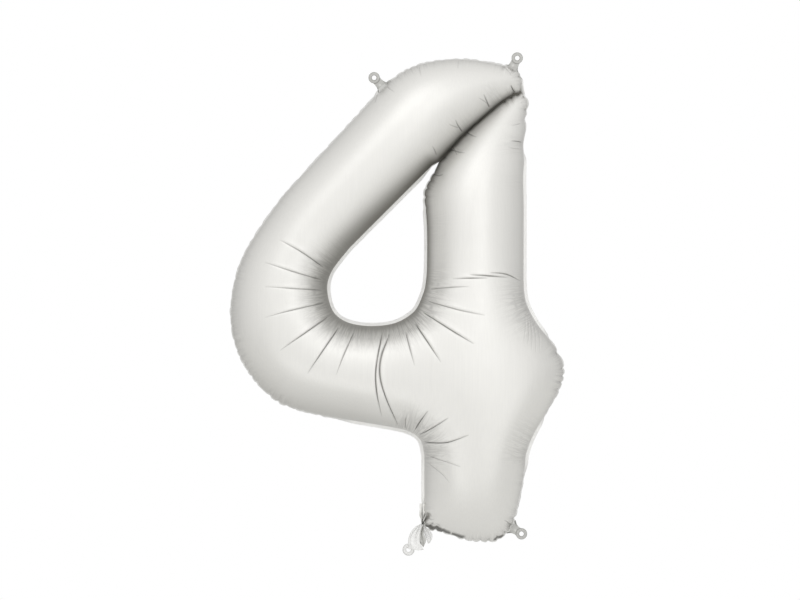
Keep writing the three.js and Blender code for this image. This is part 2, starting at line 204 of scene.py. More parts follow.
# Creases in the film, in mm on the plan: from the seam, or from where they start, to where they fade.
# Each is (points, depth, half width, fade at the start, fade at the end).
creases = [
    ([(-344, 538), (-304, 516), (-267, 490)], 2.6, 3.4, 0.5, 0.1),
    ([(-371, 499), (-318, 482), (-270, 468)], 2.2, 3.2, 0.5, 0.1),
    ([(-371, 456), (-320, 453), (-270, 450)], 1.9, 3.0, 0.5, 0.1),
    ([(-370, 402), (-322, 415), (-266, 428)], 2.2, 3.2, 0.5, 0.1),
    ([(-344, 344), (-302, 373), (-257, 405)], 2.9, 3.6, 0.5, 0.1),
    ([(-295, 304), (-268, 344), (-240, 385)], 2.9, 3.6, 0.4, 0.1),
    ([(-245, 301), (-232, 335), (-214, 376)], 2.2, 3.2, 0.5, 0.1),
    ([(-164, 378), (-175, 315), (-174, 272), (-165, 228)], 4.0, 3.6, 0.1, 0.3),
    ([(-152, 374), (-166, 334), (-168, 300), (-158, 262), (-137, 213)], 4.2, 3.8, 0.1, 0.1),
    ([(-124, 378), (-116, 348), (-108, 318)], 2.2, 3.2, 0.1, 0.5),
    ([(-107, 392), (-84, 358), (-62, 324)], 3.0, 3.6, 0.1, 0.5),
    ([(-93, 412), (-48, 383), (-4, 356)], 3.2, 3.6, 0.1, 0.4),
    ([(-84, 431), (-32, 416), (16, 406)], 2.2, 3.2, 0.1, 0.5),
    ([(-80, 452), (-46, 455), (-12, 456)], 2.0, 3.0, 0.1, 0.5),
    ([(-42, 470), (-10, 471), (22, 471)], 2.5, 3.0, 0.5, 0.5),
    ([(-12, 477), (24, 475), (58, 472)], 3.0, 3.2, 0.5, 0.5),
    ([(24, 481), (54, 478), (80, 466)], 3.0, 3.2, 0.5, 0.3),
    ([(-107, 205), (-97, 222), (-84, 240)], 2.8, 3.2, 0.1, 0.5),
    ([(-99, 196), (-74, 211), (-48, 228)], 2.8, 3.2, 0.1, 0.5),
    ([(-91, 183), (-52, 184), (-12, 198)], 3.2, 3.4, 0.1, 0.5),
    ([(-86, 160), (-50, 149), (-26, 141)], 1.7, 2.8, 0.2, 0.5),
    ([(-84, 146), (-60, 128), (-46, 112)], 1.5, 2.8, 0.2, 0.5),
    ([(-123, 206), (-124, 218), (-121, 234)], 1.8, 2.8, 0.1, 0.5),
    ([(63, 813), (66, 806), (71, 799)], 2.6, 2.8, 0.4, 0.1),
    ([(14, 796), (19, 785), (25, 773)], 2.7, 2.8, 0.5, 0.1),
    ([(-36, 750), (-31, 740), (-23, 730)], 2.6, 2.8, 0.5, 0.1),
    ([(-44, 700), (-33, 695), (-22, 692)], 2.4, 2.6, 0.1, 0.5),
    ([(-16, 731), (-7, 724), (2, 720)], 2.3, 2.6, 0.1, 0.5),
    ([(-75, 656), (-66, 653), (-56, 655)], 2.3, 2.6, 0.1, 0.5),
    ([(62, 713), (72, 713), (83, 712)], 2.3, 2.6, 0.5, 0.1),
    ([(87, 404), (87, 384), (83, 360)], 0.8, 2.2, 0.1, 0.6),
    ([(92, 400), (93, 378), (90, 352)], 0.9, 2.0, 0.1, 0.6),
    ([(97, 395), (99, 372), (97, 345)], 1.0, 2.0, 0.1, 0.6),
    ([(103, 390), (106, 368), (104, 340)], 0.9, 2.0, 0.1, 0.6),
    ([(110, 384), (113, 364), (112, 338)], 0.7, 2.0, 0.1, 0.6),
    ([(-77, 704), (-73, 698), (-68, 688)], 1.4, 2.0, 0.5, 0.1),
    ([(-42, 706), (-37, 699), (-33, 688)], 1.7, 2.0, 0.3, 0.3),
    ([(-38, 698), (-29, 694), (-18, 692)], 1.6, 2.0, 0.2, 0.5),
    ([(4, 789), (14, 784), (22, 779)], 1.4, 2.0, 0.5, 0.1),
    ([(-48, 742), (-38, 738), (-30, 736)], 1.4, 2.0, 0.5, 0.1),
    ([(-94, 648), (-100, 640), (-104, 628)], 1.4, 2.0, 0.1, 0.5),
    ([(-173, 798), (-175, 790), (-178, 780)], 1.3, 2.0, 0.1, 0.5),
    ([(-158, 811), (-150, 804), (-142, 798)], 1.0, 2.0, 0.1, 0.5),
    ([(52, 846), (60, 838), (66, 828)], 1.2, 2.0, 0.1, 0.5),
    ([(-84, 34), (-72, 37), (-60, 33)], 1.5, 2.6, 0.2, 0.5),
    ([(-86, 48), (-79, 45), (-72, 46)], 1.2, 2.4, 0.2, 0.6),
    ([(66, 33), (58, 40), (50, 46)], 1.8, 2.4, 0.1, 0.5),
    ([(80, 745), (72, 742), (62, 741)], 1.0, 2.0, 0.1, 0.5),
    ([(-100, 845), (-98, 836), (-97, 828)], 0.8, 2.0, 0.1, 0.5),
    ([(-30, 856), (-31, 846), (-31, 838)], 0.7, 2.0, 0.1, 0.5),
    ([(78, 700), (66, 700), (56, 703)], 0.9, 2.0, 0.1, 0.5),
]
creaseAndShade = {
    "rowPitch": 2.0, "pitch": 1.0, "reach": 5, "fineness": 0.72,
    "sharpness": 2.8, "lip": 0.42, "lipAt": 1.1, "lipWidth": 0.9, "press": 0.8, "fade": 0.8, "pastEnd": 3,
    # the painted shade line along the bottom of each crease
    "darkPerDepth": 0.27, "darkFrom": 0.07, "darkMost": 0.78, "darkHalf": 0.75,
    "darkFade": 0.5, "darkPastEnd": 2,
}


def creaseRows():
    # lines of points along each crease, close together across it
    rows = []
    for points, _, half, _, _ in creases:
        half *= creaseAndShade["fineness"]
        line = evenly(np.array(splineThrough(points)), creaseAndShade["rowPitch"])
        for across in meshPitch["acrossFold"]:
            rows.append(sideways(line, across * half))
    return np.concatenate(rows)


def creaseDepth(points):
    # how far each point of the plan is pressed in, in mm, and the painted shade line at the bottom of each
    # fold
    total, fold = np.zeros(len(points)), np.zeros(len(points))
    for line, depth, half, fadeStart, fadeEnd in creases:
        half *= creaseAndShade["fineness"]
        middle = evenly(np.array(splineThrough(line)), creaseAndShade["pitch"])
        reach = creaseAndShade["reach"] * half
        low, high = middle.min(axis=0) - reach, middle.max(axis=0) + reach
        near = np.where(((points > low) & (points < high)).all(axis=1))[0]
        if not len(near):
            continue
        index, _ = nearest(points[near], middle)
        along = index / (len(middle) - 1)
        tangent = np.gradient(middle, axis=0)[index]
        tangent /= np.linalg.norm(tangent, axis=1, keepdims=True)
        offset = points[near] - middle[index]
        across = tangent[:, 0] * offset[:, 1] - tangent[:, 1] * offset[:, 0]
        beyond = np.abs((offset * tangent).sum(axis=1))
        rise = np.clip(along / fadeStart, 0, 1) * np.clip((1 - along) / fadeEnd, 0, 1)
        u = across / half
        lip = creaseAndShade["lip"] * np.exp(-((u - creaseAndShade["lipAt"]) / creaseAndShade["lipWidth"]) ** 2)
        groove = np.exp(-np.abs(u) * creaseAndShade["sharpness"]) - lip  # a sharp fold with a lip
        past = np.exp(-(beyond / creaseAndShade["pastEnd"]) ** 2)
        total[near] += creaseAndShade["press"] * depth * groove * rise ** creaseAndShade["fade"] * past
        # painted shade along the fold's bottom, darker for deeper folds
        dark = np.clip(creaseAndShade["darkPerDepth"] * depth - creaseAndShade["darkFrom"], 0, creaseAndShade["darkMost"])
        dark = dark * np.exp(-(across / creaseAndShade["darkHalf"]) ** 2) * rise ** creaseAndShade["darkFade"]
        fold[near] = np.maximum(fold[near], dark * np.exp(-(beyond / creaseAndShade["darkPastEnd"]) ** 2))
    return total, fold


# the mesh of one panel, flat
def panelPoints():
    rings = [sideways(seamLoop, -d, closed=True) for d in meshPitch["rings"]]
    margins = [sideways(outer, plan["seal"] * share) for share in meshPitch["marginRows"]]
    ends = meshPitch["holeEnds"]
    margins += [holeMargin(share)[ends:-ends] for share in meshPitch["marginRows"]]
    step = meshPitch["lattice"]
    low, high = seamLoop.min(axis=0), seamLoop.max(axis=0)
    rowsZ = np.arange(low[1], high[1], step * meshPitch["rowShare"])
    lattice = []
    for k, z in enumerate(rowsZ):
        xs = np.arange(low[0] + (k % 2) * step / 2, high[0], step)
        lattice.append(np.stack([xs, np.full(len(xs), z)], axis=1))
    lattice = np.concatenate(lattice)
    lattice = lattice[insideLoop(lattice, seamLoop)]
    clear = meshPitch["rings"][-1] + step * meshPitch["latticeClearance"]
    lattice = lattice[nearest(lattice, seamLoop)[1] > clear]
    folds = creaseRows()
    folds = folds[insideLoop(folds, seamLoop)]
    folds = folds[nearest(folds, seamLoop)[1] > meshPitch["foldFromSeam"]]
    lattice = lattice[nearest(lattice, folds)[1] > meshPitch["foldClearance"]]
    kept = []
    for ring, d in zip(rings, meshPitch["rings"]):
        ring = ring[insideLoop(ring, seamLoop)]
        ring = ring[nearest(ring, seamLoop)[1] > d * meshPitch["ringShare"]]
        kept.append(ring[nearest(ring, folds)[1] > meshPitch["ringFromFold"]])
    return np.concatenate([seamLoop, filmEdge, holeEdge] + kept + margins + [folds, lattice])


def loopEdges(first, count):
    return [(first + i, first + (i + 1) % count) for i in range(count)]


def triangulate():
    points = panelPoints()
    n, m, h = len(seamLoop), len(filmEdge), len(holeEdge)
    edges = loopEdges(0, n) + loopEdges(n, m) + loopEdges(n + m, h)
    verts, _, faces, origin, _, _ = geometry.delaunay_2d_cdt([Vector(p) for p in points], edges, [], 0, 0.02)
    verts = np.array([tuple(v) for v in verts])
    faces = np.array([f for f in faces if len(f) == 3])
    middle = verts[faces].mean(axis=1)
    keep = insideLoop(middle, filmEdge) & ~insideLoop(middle, holeEdge)
    faces, middle = faces[keep], middle[keep]
    a, b, c = verts[faces[:, 0]], verts[faces[:, 1]], verts[faces[:, 2]]
    area = np.cross(b - a, c - a)
    faces[area < 0] = faces[area < 0][:, ::-1]
    puffed = insideLoop(middle, seamLoop)
    used = np.unique(faces)
    renumber = np.zeros(len(verts), int)
    renumber[used] = np.arange(len(used))
    return verts[used], renumber[faces], puffed


membrane = {"steps": 900, "settled": 1e-6}


def puffedHeights(verts, faces, puffed):
    # a membrane under even pressure, held at the seam: sqrt(2 phi) makes a straight limb a round tube
    tri = faces[puffed]
    count = len(verts)
    free = np.zeros(count, bool)
    free[np.unique(tri)] = True
    free[np.unique(faces[~puffed])] = False
    a, b, c = verts[tri[:, 0]], verts[tri[:, 1]], verts[tri[:, 2]]
    area = np.abs(np.cross(b - a, c - a))
    rows, cols, weights = [], [], []
    for i, j, k in ((0, 1, 2), (1, 2, 0), (2, 0, 1)):
        u, v = verts[tri[:, i]] - verts[tri[:, k]], verts[tri[:, j]] - verts[tri[:, k]]
        cotangent = (u * v).sum(axis=1) / np.maximum(area, 1e-6) / 2
        rows += [tri[:, i], tri[:, j]]
        cols += [tri[:, j], tri[:, i]]
        weights += [cotangent, cotangent]
    rows, cols, weights = np.concatenate(rows), np.concatenate(cols), np.concatenate(weights)
    load = np.zeros(count)
    for i in range(3):
        load += np.bincount(tri[:, i], area / 6, minlength=count)
    diagonal = np.bincount(rows, weights, minlength=count)
    diagonal[diagonal <= 0] = 1

    def stiffness(phi):
        return diagonal * phi - np.bincount(rows, weights * phi[cols], minlength=count)

    phi = np.zeros(count)
    residual = np.where(free, load, 0)
    scaled = residual / diagonal
    direction = scaled.copy()
    energy = (residual * scaled).sum()
    for _ in range(membrane["steps"]):
        pushed = np.where(free, stiffness(direction), 0)
        step = energy / (direction * pushed).sum()
        phi += step * direction
        residual -= step * pushed
        scaled = residual / diagonal
        newEnergy = (residual * scaled).sum()
        if newEnergy < membrane["settled"]:
            break
        direction = scaled + newEnergy / energy * direction
        energy = newEnergy
    height = np.sqrt(np.maximum(2 * phi, 0))
    soft = plan["junctionSoft"]
    over = soft * np.logaddexp(0, (height - plan["stemHalf"]) / soft)
    return height - over * (1 - plan["junctionRise"])


verts, faces, puffed = triangulate()
print("panel mesh", len(verts), len(faces))
heights = puffedHeights(verts, faces, puffed)
print("panel puffed", round(float(heights.max()), 1))
onMargin = np.zeros(len(verts), bool)
onMargin[np.unique(faces[~puffed])] = True

# puckers and pleats along the seam
pucker = {
    "scallopPitch": 17.0, "scallop": 2.5, "scallopReach": 16.0, "scallopSharp": 4.0, "scallopSeed": 50,
    "pleatPitch": 4.2, "pleat": 0.55, "pleatReach": 17.0, "pleatGain": 1.7,
    "puckerPitch": 11.0, "pucker": 1.1, "puckerReach": 20.0, "puckerSharp": 2.0, "puckerStraight": 0.25,
    "lowerHalf": 345.0, "lowerScallop": 1.5, "rearPress": 0.85, "evenness": 0.65, "strengthPitch": 37,
    # painted shade at the film's edge at each pucker
    "edgeDark": 0.75, "edgeSharp": 6.0, "edgeReach": 2.5,
    "turnSpan": 9, "turnSmooth": 31, "roundGain": 110, "hollowGain": 90,
}


def smoothLoop(values, window):
    # each value of a closed line blended with its neighbours
    weights = np.hanning(window) / np.hanning(window).sum()
    half = window // 2
    return np.convolve(np.concatenate([values[-half:], values, values[:half]]), weights, "valid")


ahead = np.roll(seamLoop, -pucker["turnSpan"], axis=0) - seamLoop
behind = seamLoop - np.roll(seamLoop, pucker["turnSpan"], axis=0)
turn = np.arctan2(behind[:, 0] * ahead[:, 1] - behind[:, 1] * ahead[:, 0], (ahead * behind).sum(axis=1))
# how sharply the seam turns: outwards is positive, in 1/mm
seamTurn = smoothLoop(-turn / np.linalg.norm(ahead, axis=1), pucker["turnSmooth"])
nearSeam, seamGap = nearest(verts, seamLoop)
seamShare = {
    "round": np.clip(seamTurn * pucker["roundGain"], 0, 1)[nearSeam],  # where the seam bulges out
    "hollow": np.clip(-seamTurn * pucker["hollowGain"], 0, 1)[nearSeam],  # where it turns in
}
along = seamAlong[nearSeam]


def wander(at, pitch, seed):
    # a smooth random value from -1 to 1 along the seam
    values = np.random.default_rng(seed).uniform(-1, 1, int(seamAlong[-1] / pitch) + 3)
    place = at / pitch
    low = np.floor(place).astype(int)
    part = place - low
    part = part * part * (3 - 2 * part)
    return values[low] * (1 - part) + values[low + 1] * part


def seamWave(at, pitch, seed, sharpness=1.0):
    # uneven folds along the seam, from 0 between them to 1 at each
    phase = at / pitch + 0.55 * wander(at, pitch * 2.3, seed)
    wave = 0.5 + 0.5 * np.cos(2 * np.pi * phase)
    return wave ** sharpness


# painted shade: how deep each point lies between the limbs, where little light gets in
paintedShade = {
    # mm of film painted dark from the seam inwards, how dark, and how fast it falls off
    "weldArm": ((3, 0.5, 1.2), (8, 0.66, 1.2), (9, 0.7, 1.2), (11, 0.75, 1.3), (15, 0.86, 1.5)),
    "weldStem": ((3, 0.75, 2.0), (3, 0.8, 2.0), (4, 0.85, 2.0)),
    # round the hole, from its tip down the arm, along the bar and up the stem
    "hole": ((16, 0.95, 2.0), (18, 0.92, 2.0), (21, 0.9, 2.1), (22, 0.75, 2.0), (21, 0.64, 2.0),
             (16, 0.7, 2.1), (12, 0.78, 2.0), (9, 0.78, 1.7), (8, 0.84, 1.6), (8, 0.88, 1.6), (6, 0.9, 1.7)),
    # round the outside from the weld's end down the stem, along the bar's underside and up the arm
    "outside": ((6, 0.0, 2), (8, 0.05, 2), (8, 0.1, 2), (8, 0.1, 2), (8, 0.1, 2), (8, 0.05, 2), (6, 0.0, 2),
                (12, 0.12, 2), (30, 0.3, 1.8), (34, 0.3, 1.8), (20, 0.12, 2), (8, 0.05, 2), (6, 0, 2),
                (6, 0, 2), (6, 0, 2), (6, 0, 2)),
}
# painted shadow of the film folded under at the foot and at the tabs: from x, z, to x, z, half width, how
# dark
underfoldShadows = [
    (-87, 30, -64, 27, 4.8, 0.92), (-64, 26, -47, 21, 3.4, 1.0), (-39, 18.5, -23, 13, 3.2, 1.0),
    (36, 8.5, 48, 14.5, 3.0, 0.95), (-84, 55, -90, 40, 3.4, 0.85), (79, 49, 81, 55, 4, 0.7),
    (-158, 818, -152, 822, 4, 0.7), (58, 853, 64, 849, 4, 0.7), (84, 828, 84, 836, 4, 0.6),
]
tabSpots = ((-166, 814, 18), (67, 846, 15), (70, 26, 18))  # x, z and how far round it the margin lies flat
margin = {
    # it curls back except where the seam turns in below showBelow, and beside the stem's right edge and foot
    "hollowLimit": 0.12, "showBelow": 450, "rightOf": 60, "rightZ": 555, "rightHalf": 130,
    "footLeftOf": -80, "footBelow": 215, "smooth": 19,
    # painted shade on the margin: along the weld, where it curls back and round the tabs
    "weldDark": 0.9, "curledDark": 0.3, "tabDark": 0.42,
    "gather": 0.7, "gatherUneven": 0.25, "curl": 1.4, "curlUneven": 0.15, "curlNarrow": 0.7,
    "flutter": 0.9, "roundFlutter": 1.2, "curledFlutter": 0.6,
}
valleys = {
    # film between the limbs, which mirrors less: its reach in mm and how much
    "share": 0.6, "reach": 34, "stemRightOf": -100, "stemAbove": 380, "stemReach": 42,
    "fadeFrom": 600, "fadeOver": 80, "fadeShare": 0.5, "fadeReach": 16,
}
firstArm = len(weld) + len(outer)  # where the weld's other side starts on the seam
finePleats = {"hollow": 1.3, "hollowReach": 36, "round": 0.6, "roundReach": 13, "fromSeam": 5}


def paintedShadeAlongSeam():
    reach, dark, power = np.full(len(seamLoop), 10.0), np.zeros(len(seamLoop)), np.full(len(seamLoop), 2.0)
    stretches = ((0, len(weld), paintedShade["weldStem"][::-1]), (firstArm, len(weld), paintedShade["weldArm"]),
                 (firstArm + len(weld), len(hole), paintedShade["hole"]), (len(weld), len(outer), paintedShade["outside"]))
    for first, count, values in stretches:
        place = np.linspace(0, len(values) - 1, count)
        for target, column in ((reach, 0), (dark, 1), (power, 2)):
            target[first:first + count] = np.interp(place, range(len(values)), [v[column] for v in values])
    return reach, dark, power


seamReach, seamDark, seamPower = paintedShadeAlongSeam()
# painted shade, falling off from the seam inwards
paintedShadeAmount = seamDark[nearSeam] * np.exp(-(seamGap / seamReach[nearSeam]) ** seamPower[nearSeam])
armWeld = (nearSeam >= firstArm) & (nearSeam < firstArm + len(weld))
weldSeam = (nearSeam < len(weld)) | armWeld
outerSeam = (nearSeam >= len(weld)) & (nearSeam < firstArm)
sealMargin = onMargin & ~weldSeam
planX, planZ = verts[:, 0], verts[:, 1]
hidden = (seamShare["hollow"] <= margin["hollowLimit"]) | (planZ > margin["showBelow"])
hidden &= ~((planX > margin["rightOf"]) & (abs(planZ - margin["rightZ"]) < margin["rightHalf"]))
seamHidden = np.zeros(len(seamLoop))
seamHidden[nearSeam[onMargin & outerSeam & hidden]] = 1
seamHidden[nearSeam[onMargin & (planX < margin["footLeftOf"]) & (planZ < margin["footBelow"])]] = 0
seamHidden = smoothLoop(seamHidden, margin["smooth"])
# painted shade on the margin: dark along the weld and where it curls back out of sight
curledDark = np.where(outerSeam, margin["curledDark"] * seamHidden[nearSeam], 0.0)
paintedShadeAmount[onMargin] = np.where(weldSeam, margin["weldDark"], curledDark)[onMargin]
underDark = np.zeros(len(verts))
for x, z, toX, toZ, half, dark in underfoldShadows:
    way = np.array([toX - x, toZ - z])
    share = np.clip(((verts - (x, z)) @ way) / (way @ way), 0, 1)
    distance = np.linalg.norm(verts - (x, z) - share[:, None] * way, axis=1)
    shade = dark * np.exp(-(distance / half) ** 4)
    paintedShadeAmount = np.maximum(paintedShadeAmount, shade)
    underDark = np.maximum(underDark, shade * (dark > 0.9))  # the darkest painted shadows also get the darker crease shade colour
paintedShadeAmount = np.clip(paintedShadeAmount, 0, 1)
foldBack = np.where(onMargin & outerSeam, seamHidden[nearSeam], 0.0)
for x, z, reach in tabSpots:
    aroundTab = np.exp(-((np.hypot(planX - x, planZ - z) / reach) ** 4))
    foldBack *= 1 - aroundTab
    # painted shade on the flat margin round each tab
    paintedShadeAmount = np.maximum(paintedShadeAmount, np.where(onMargin, margin["tabDark"] * aroundTab, 0))
besideStem = (planX > valleys["stemRightOf"]) & (planZ > valleys["stemAbove"]) & ~armWeld
upStem = np.clip((planZ - valleys["fadeFrom"]) / valleys["fadeOver"], 0, 1)
stemReach = valleys["stemReach"] - valleys["fadeReach"] * upStem
stemValley = (1 - valleys["fadeShare"] * upStem) * np.exp(-(seamGap / stemReach) ** 2)
otherValley = valleys["share"] * np.exp(-(seamGap / valleys["reach"]) ** 2)
valley = np.where(outerSeam, 0.0, np.where(besideStem, stemValley, otherValley))
inHollow = seamShare["hollow"] * np.exp(-(seamGap / finePleats["hollowReach"]) ** 2)
inRound = seamShare["round"] * np.exp(-(seamGap / finePleats["roundReach"]) ** 2)
pleatShare = np.clip(finePleats["hollow"] * inHollow + finePleats["round"] * inRound, 0, 1)
pleatShare *= np.where(onMargin, 0, 1) * np.clip(seamGap / finePleats["fromSeam"], 0, 1)
# painted shade darkens the film's edge at each pucker where it bulges out
atPucker = seamWave(along, pucker["scallopPitch"], pucker["scallopSeed"], pucker["edgeSharp"])
puckerShade = pucker["edgeDark"] * seamShare["round"] * atPucker
puckerShade *= np.exp(-(seamGap / pucker["edgeReach"]) ** 2)
paintedShadeAmount = np.maximum(paintedShadeAmount, puckerShade * outerSeam)
seamTangent = np.roll(seamLoop, -1, axis=0) - np.roll(seamLoop, 1, axis=0)
seamTangent /= np.linalg.norm(seamTangent, axis=1, keepdims=True)
past = ((verts - seamLoop[nearSeam]) * seamTangent[nearSeam]).sum(axis=1)
seamRun = along + past / (1 + seamGap * np.clip(-seamTurn[nearSeam], 0, 1))
# the creases' press, and the painted shade along their bottoms
creasePress, paintedCreaseShade = creaseDepth(verts)
paintedCreaseShade = np.maximum(paintedCreaseShade, underDark)


def panelShape(side, seed):
    out = np.stack([verts[:, 0], heights, verts[:, 1]], axis=1)
    # surface normals of the smooth shape, height along +y
    a, b, c = out[faces[:, 0]], out[faces[:, 1]], out[faces[:, 2]]
    normal = np.cross(c - a, b - a)
    normals = np.zeros_like(out)
    for i in range(3):
        for axis in range(3):
            normals[:, axis] += np.bincount(faces[:, i], normal[:, axis], minlength=len(out))
    normals[onMargin] = (0, 1, 0)
    normals /= np.linalg.norm(normals, axis=1, keepdims=True)
    inward = seamInward[nearSeam]
    rise = np.clip(seamGap / 2.0, 0, 1)
    press = creasePress * (1.0 if side < 0 else pucker["rearPress"])
    evenness = pucker["evenness"]
    strength = evenness + (1 - evenness) * wander(along, pucker["strengthPitch"], seed)
    pleats = pucker["pleat"] * strength * seamWave(along, pucker["pleatPitch"], seed + 1)
    press += seamShare["hollow"] * pleats * np.exp(-seamGap / pucker["pleatReach"]) * pucker["pleatGain"]
    puckers = pucker["pucker"] * strength * np.exp(-seamGap / pucker["puckerReach"])
    puckers *= seamWave(along, pucker["puckerPitch"], seed + 2, pucker["puckerSharp"])
    straight = pucker["puckerStraight"]
    press += (straight + (1 - straight) * seamShare["round"]) * puckers
    out -= normals * (press * rise)[:, None] * np.where(onMargin, 0, 1)[:, None]
    # the seam itself is drawn in at each pucker on the round stretches
    drawnIn = seamWave(along, pucker["scallopPitch"], pucker["scallopSeed"], pucker["scallopSharp"])
    drawnIn *= pucker["scallop"] * seamShare["round"] * np.exp(-seamGap / pucker["scallopReach"])
    drawnIn *= np.where(verts[:, 1] < pucker["lowerHalf"], pucker["lowerScallop"], 1.0)
    # the flat margin is gathered narrower where the seam bulges out
    outward = np.where(onMargin, seamGap, 0) / plan["seal"]
    uneven = margin["gatherUneven"]
    drawnIn += (plan["seal"] * outward * margin["gather"] * seamShare["round"]
                * (1 - uneven + uneven * wander(along, 9, 77)))
    # on the outside bends and limbs it curls back out of sight
    uneven = margin["curlUneven"]
    curl = foldBack * margin["curl"] * (1 - uneven + uneven * wander(along, 9, 79))
    width = np.where(onMargin, seamGap, 0) * (1 - margin["curlNarrow"] * seamShare["round"])
    drawnIn += width * (1 - np.cos(curl))
    out[:, 0] += inward[:, 0] * drawnIn
    out[:, 2] += inward[:, 1] * drawnIn
    # and it flutters a little
    flutter = wander(along, 13, 80) + margin["roundFlutter"] * seamShare["round"] * wander(along, 6, 81)
    flutter *= margin["flutter"] * outward * (1 - margin["curledFlutter"] * foldBack)
    out[:, 1] += plan["plyGap"] + plan["film"]
    out[:, 1] *= side
    out[:, 1] += flutter + width * np.sin(curl)
    out[:, 0] -= plan["origin"][0]
    out[:, 2] -= plan["origin"][1]
    return out / 1000


def linkedMesh(name, points, polygons):
    mesh = bpy.data.meshes.new(name)
    mesh.from_pydata(points.tolist(), [], polygons)
    mesh.update()
    piece = bpy.data.objects.new(name, mesh)
    bpy.context.scene.collection.objects.link(piece)
    return piece


def panelObject(name, side, seed):
    tris = faces if side < 0 else faces[:, ::-1]
    piece = linkedMesh(name, panelShape(side, seed), tris.tolist())
    onSeal = ~puffed & sealMargin[faces].any(axis=1)
    piece.data.polygons.foreach_set("use_smooth", np.ones(len(tris), bool))
    piece.data.polygons.foreach_set("material_index", onSeal.astype(np.int32))
    return piece


def applyModifier(piece, kind, **values):
    modifier = piece.modifiers.new(kind.title(), kind)
    for name, value in values.items():
        setattr(modifier, name, value)
    bpy.context.view_layer.objects.active = piece
    bpy.ops.object.modifier_apply(modifier=modifier.name)


frontFoil = panelObject("frontFoil", -1, 11)
rearFoil = panelObject("rearFoil", 1, 23)
for panel in (frontFoil, rearFoil):
    applyModifier(panel, "SOLIDIFY", thickness=plan["film"] / 1000, offset=-1, use_even_offset=False)
print("panels shaped")


def giveAttribute(piece, name, values):
    attribute = piece.data.attributes.new(name, "FLOAT", "POINT")
    attribute.data.foreach_set("value", np.asarray(values, np.float32))


# materials: each look's darker colours are painted shade, laid on by masks, and the tab's mask also paints a
# highlight
foilLook = {"color": (0.835, 0.83, 0.81, 1), "tucked": (0.14, 0.132, 0.11, 1), "fold": (0.1, 0.098, 0.09, 1),
            "edge": (0.82, 0.82, 0.82, 1), "roughness": 0.4, "valleyBlur": 0.42, "valleySoft": 0.5,
            "waves": 0.10, "crinkle": 0.12, "spread": 0.05, "streaks": 0.06, "darkDull": 0.75}
# seam pleats: their bump height, and the painted shade along each pleat line
seamPleat = {"lines": ((2.4, 0.6), (6.5, 0.7)), "length": 9, "sharp": 9.0, "height": -0.35, "shade": 0.38}
sealLook = {"color": (0.95, 0.95, 0.94, 1), "shaded": (0.2, 0.2, 0.18, 1), "roughness": 0.42}
tabLook = {"color": (0.68, 0.68, 0.66, 1), "shaded": (0.17, 0.17, 0.16, 1), "roughness": 0.38}
neckLook = {"color": (0.84, 0.835, 0.81, 1), "shaded": (0.05, 0.05, 0.045, 1), "roughness": 0.34}
tailLook = {"color": (0.97, 0.97, 0.965, 1), "shaded": (0.36, 0.36, 0.34, 1), "roughness": 0.32}
valveLook = {"color": (0.6, 0.6, 0.58, 1), "shaded": (0.3, 0.3, 0.28, 1), "roughness": 0.34}


def newMaterial(name):
    material = bpy.data.materials.new(name)
    material.use_nodes = True
    return material, material.node_tree.nodes, material.node_tree.links


def setNode(node, **values):
    for name, value in values.items():
        node.inputs[name.replace("_", " ")].default_value = value
    return node


def attributeMask(nodes, name):
    node = nodes.new("ShaderNodeAttribute")
    node.attribute_name = name
    return node.outputs["Fac"]


def addMath(nodes, links, kind, a, b, third=None):
    node = nodes.new("ShaderNodeMath")
    node.operation = kind
    for socket, value in zip(node.inputs, (a, b, third)):
        if isinstance(value, (int, float)):
            socket.default_value = value
        elif value is not None:
            links.new(value, socket)
    return node.outputs[0]


def filmSurfaceGroup():
    # thin film: slow waves and fine crinkle as a normal, with a mottle and faint rolled streaks
    group = bpy.data.node_groups.new("filmSurface", "ShaderNodeTree")
    for name, amount in (("Waves", 0.1), ("Crinkle", 0.1), ("Pleats", 0.0)):
        group.interface.new_socket(name, in_out="INPUT", socket_type="NodeSocketFloat").default_value = amount
    group.interface.new_socket("Normal", in_out="OUTPUT", socket_type="NodeSocketVector")
    group.interface.new_socket("Mottle", in_out="OUTPUT", socket_type="NodeSocketFloat")
    group.interface.new_socket("Streaks", in_out="OUTPUT", socket_type="NodeSocketFloat")
    nodes, links = group.nodes, group.links
    inputs, outputs = nodes.new("NodeGroupInput"), nodes.new("NodeGroupOutput")
    place = nodes.new("ShaderNodeTexCoord")
    waves = setNode(nodes.new("ShaderNodeTexNoise"), Scale=14.0, Detail=2.0, Roughness=0.45)
    crinkle = setNode(nodes.new("ShaderNodeTexNoise"), Scale=420.0, Detail=3.0, Roughness=0.55)
    mottle = setNode(nodes.new("ShaderNodeTexNoise"), Scale=55.0, Detail=4.0, Roughness=0.6)
    stretch = setNode(nodes.new("ShaderNodeMapping"), Scale=(420.0, 420.0, 5.0))
    streaks = setNode(nodes.new("ShaderNodeTexNoise"), Scale=1.0, Detail=2.0, Roughness=0.5)
    for noise in (waves, crinkle, mottle):
        links.new(place.outputs["Object"], noise.inputs["Vector"])
    links.new(place.outputs["Object"], stretch.inputs["Vector"])
    links.new(stretch.outputs["Vector"], streaks.inputs["Vector"])
    slow = addMath(nodes, links, "MULTIPLY", waves.outputs["Fac"], inputs.outputs["Waves"])
    fine = addMath(nodes, links, "MULTIPLY", crinkle.outputs["Fac"], inputs.outputs["Crinkle"])
    height = addMath(nodes, links, "ADD", addMath(nodes, links, "MULTIPLY", slow, 4.0),
                     addMath(nodes, links, "MULTIPLY", fine, 0.2))
    height = addMath(nodes, links, "ADD", height, inputs.outputs["Pleats"])
    bump = setNode(nodes.new("ShaderNodeBump"), Strength=1.0, Distance=0.001)
    links.new(height, bump.inputs["Height"])
    links.new(bump.outputs["Normal"], outputs.inputs["Normal"])
    links.new(mottle.outputs["Fac"], outputs.inputs["Mottle"])
    links.new(streaks.outputs["Fac"], outputs.inputs["Streaks"])
    return group


